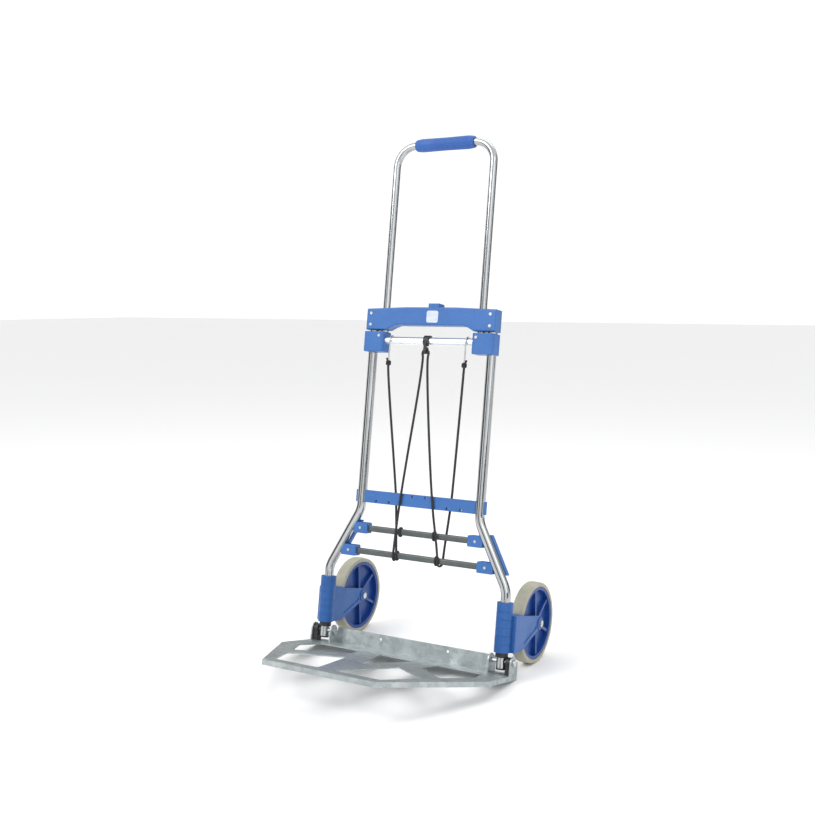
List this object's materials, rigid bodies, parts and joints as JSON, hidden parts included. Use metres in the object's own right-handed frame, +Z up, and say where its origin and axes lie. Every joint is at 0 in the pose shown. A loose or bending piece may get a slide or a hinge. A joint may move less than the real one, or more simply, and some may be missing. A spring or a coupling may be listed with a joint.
{
  "type": "folding luggage cart",
  "caption": "Folding luggage cart: telescopic handle on a bent tube frame, with a folding toe plate and swivelling wheels",
  "frame": {"origin": "on the floor, at the middle of the footprint of the open cart", "axes": "+Z up, +X to the cart's side, +Y to the back where the wheels are; the toe plate points to -Y"},
  "size_m": [0.482, 0.5524, 1.09],
  "materials": {
    "chrome_tube": "bright chromed steel tube",
    "blue_beam": "moulded blue plastic, satin",
    "blue_fork": "moulded blue plastic, satin",
    "blue_disc": "moulded blue plastic, soft gloss",
    "tyre": "grey-green rubber, dull",
    "plate": "mottled dull grey sheet",
    "rod": "dark grey painted tube",
    "bright_bar": "bright drawn tube",
    "zinc": "zinc-plated steel",
    "black_plastic": "moulded black plastic",
    "badge": "blank pale sticker",
    "cord": "black elastic cord with a woven cover"
  },
  "bodies": {
    "frame": {"frame_tube_left": "chrome_tube", "frame_tube_right": "chrome_tube", "foot_plug_left": "black_plastic", "foot_plug_right": "black_plastic", "crossbeam_front": "blue_beam", "crossbeam_rear": "blue_beam", "crossbeam_rivets": "zinc", "leg_guide_bushes": "black_plastic", "blank_badge": "badge", "lower_strap": "blue_beam", "strap_rivets": "zinc", "side_rail_left": "blue_beam", "side_rail_right": "blue_beam", "cross_rod_upper": "rod", "cross_rod_lower": "rod", "rod_rivets": "zinc", "hinge_pin_left": "zinc", "hinge_pin_right": "zinc", "button_spring": "zinc", "elastic_cord": "cord", "cord_wraps": "cord"},
    "handle": {"handle_tube": "chrome_tube", "handle_grip": "blue_beam", "slider_block_left": "blue_beam", "slider_block_right": "blue_beam", "slider_rivets": "zinc", "hook_bar": "bright_bar", "wire_hook_left": "zinc", "wire_hook_right": "zinc", "centre_hook": "black_plastic", "cord_knot_left": "cord", "cord_knot_right": "cord"},
    "button": {"release_button": "blue_beam"},
    "lock_left": {"lock_bar_left": "black_plastic"},
    "lock_right": {"lock_bar_right": "black_plastic"},
    "plate": {"toe_plate": "plate", "fold_cam_left": "black_plastic", "fold_cam_right": "black_plastic"},
    "fork_left": {"wheel_bracket_left": "blue_fork", "swivel_collar_left": "black_plastic", "axle_bolt_left": "zinc", "axle_nut_left": "zinc", "hub_spacers_left": "black_plastic"},
    "wheel_left": {"wheel_disc_left": "blue_disc", "tyre_left": "tyre", "hub_bush_left": "black_plastic"},
    "fork_right": {"wheel_bracket_right": "blue_fork", "swivel_collar_right": "black_plastic", "axle_bolt_right": "zinc", "axle_nut_right": "zinc", "hub_spacers_right": "black_plastic"},
    "wheel_right": {"wheel_disc_right": "blue_disc", "tyre_right": "tyre", "hub_bush_right": "black_plastic"}
  },
  "joints": [
    {"name": "handle_slide", "type": "slide", "parent": "frame", "child": "handle", "axis": [0, -0.1478, -0.989], "range_m": [0, 0.28], "deforming": ["elastic_cord"]},
    {"name": "plate_fold", "type": "hinge", "parent": "frame", "child": "plate", "pos_m": [0, 0.05852, 0.03828], "axis": [-1, 0, 0], "range_deg": [0, 86.7]},
    {"name": "swivel_left", "type": "hinge", "parent": "frame", "child": "fork_left", "pos_m": [-0.211, 0.0528, 0], "axis": [0, -0.1478, -0.989], "range_deg": [0, 90.2]},
    {"name": "swivel_right", "type": "hinge", "parent": "frame", "child": "fork_right", "pos_m": [0.211, 0.0528, 0], "axis": [0, 0.1478, 0.989], "range_deg": [0, 90.2]},
    {"name": "wheel_spin_left", "type": "hinge", "parent": "fork_left", "child": "wheel_left", "pos_m": [-0.2165, 0.19225, 0.084], "axis": [1, 0, 0], "continuous": true},
    {"name": "wheel_spin_right", "type": "hinge", "parent": "fork_right", "child": "wheel_right", "pos_m": [0.2165, 0.19225, 0.084], "axis": [1, 0, 0], "continuous": true},
    {"name": "release_press", "type": "slide", "parent": "frame", "child": "button", "axis": [0, -0.1478, -0.989], "range_m": [0, 0.004], "stiffness_N_per_m": 300, "springref_m": -0.008, "deforming": ["button_spring"]},
    {"name": "lock_draw_left", "type": "slide", "parent": "frame", "child": "lock_left", "axis": [1, 0, 0], "range_m": [0, 0.004]},
    {"name": "lock_draw_right", "type": "slide", "parent": "frame", "child": "lock_right", "axis": [-1, 0, 0], "range_m": [0, 0.004]}
  ],
  "couplings": [
    {"joint": "swivel_left", "follows": "plate_fold", "ratio": 1.038},
    {"joint": "swivel_right", "follows": "plate_fold", "ratio": 1.038},
    {"joint": "lock_draw_left", "follows": "release_press", "ratio": 1},
    {"joint": "lock_draw_right", "follows": "release_press", "ratio": 1}
  ]
}
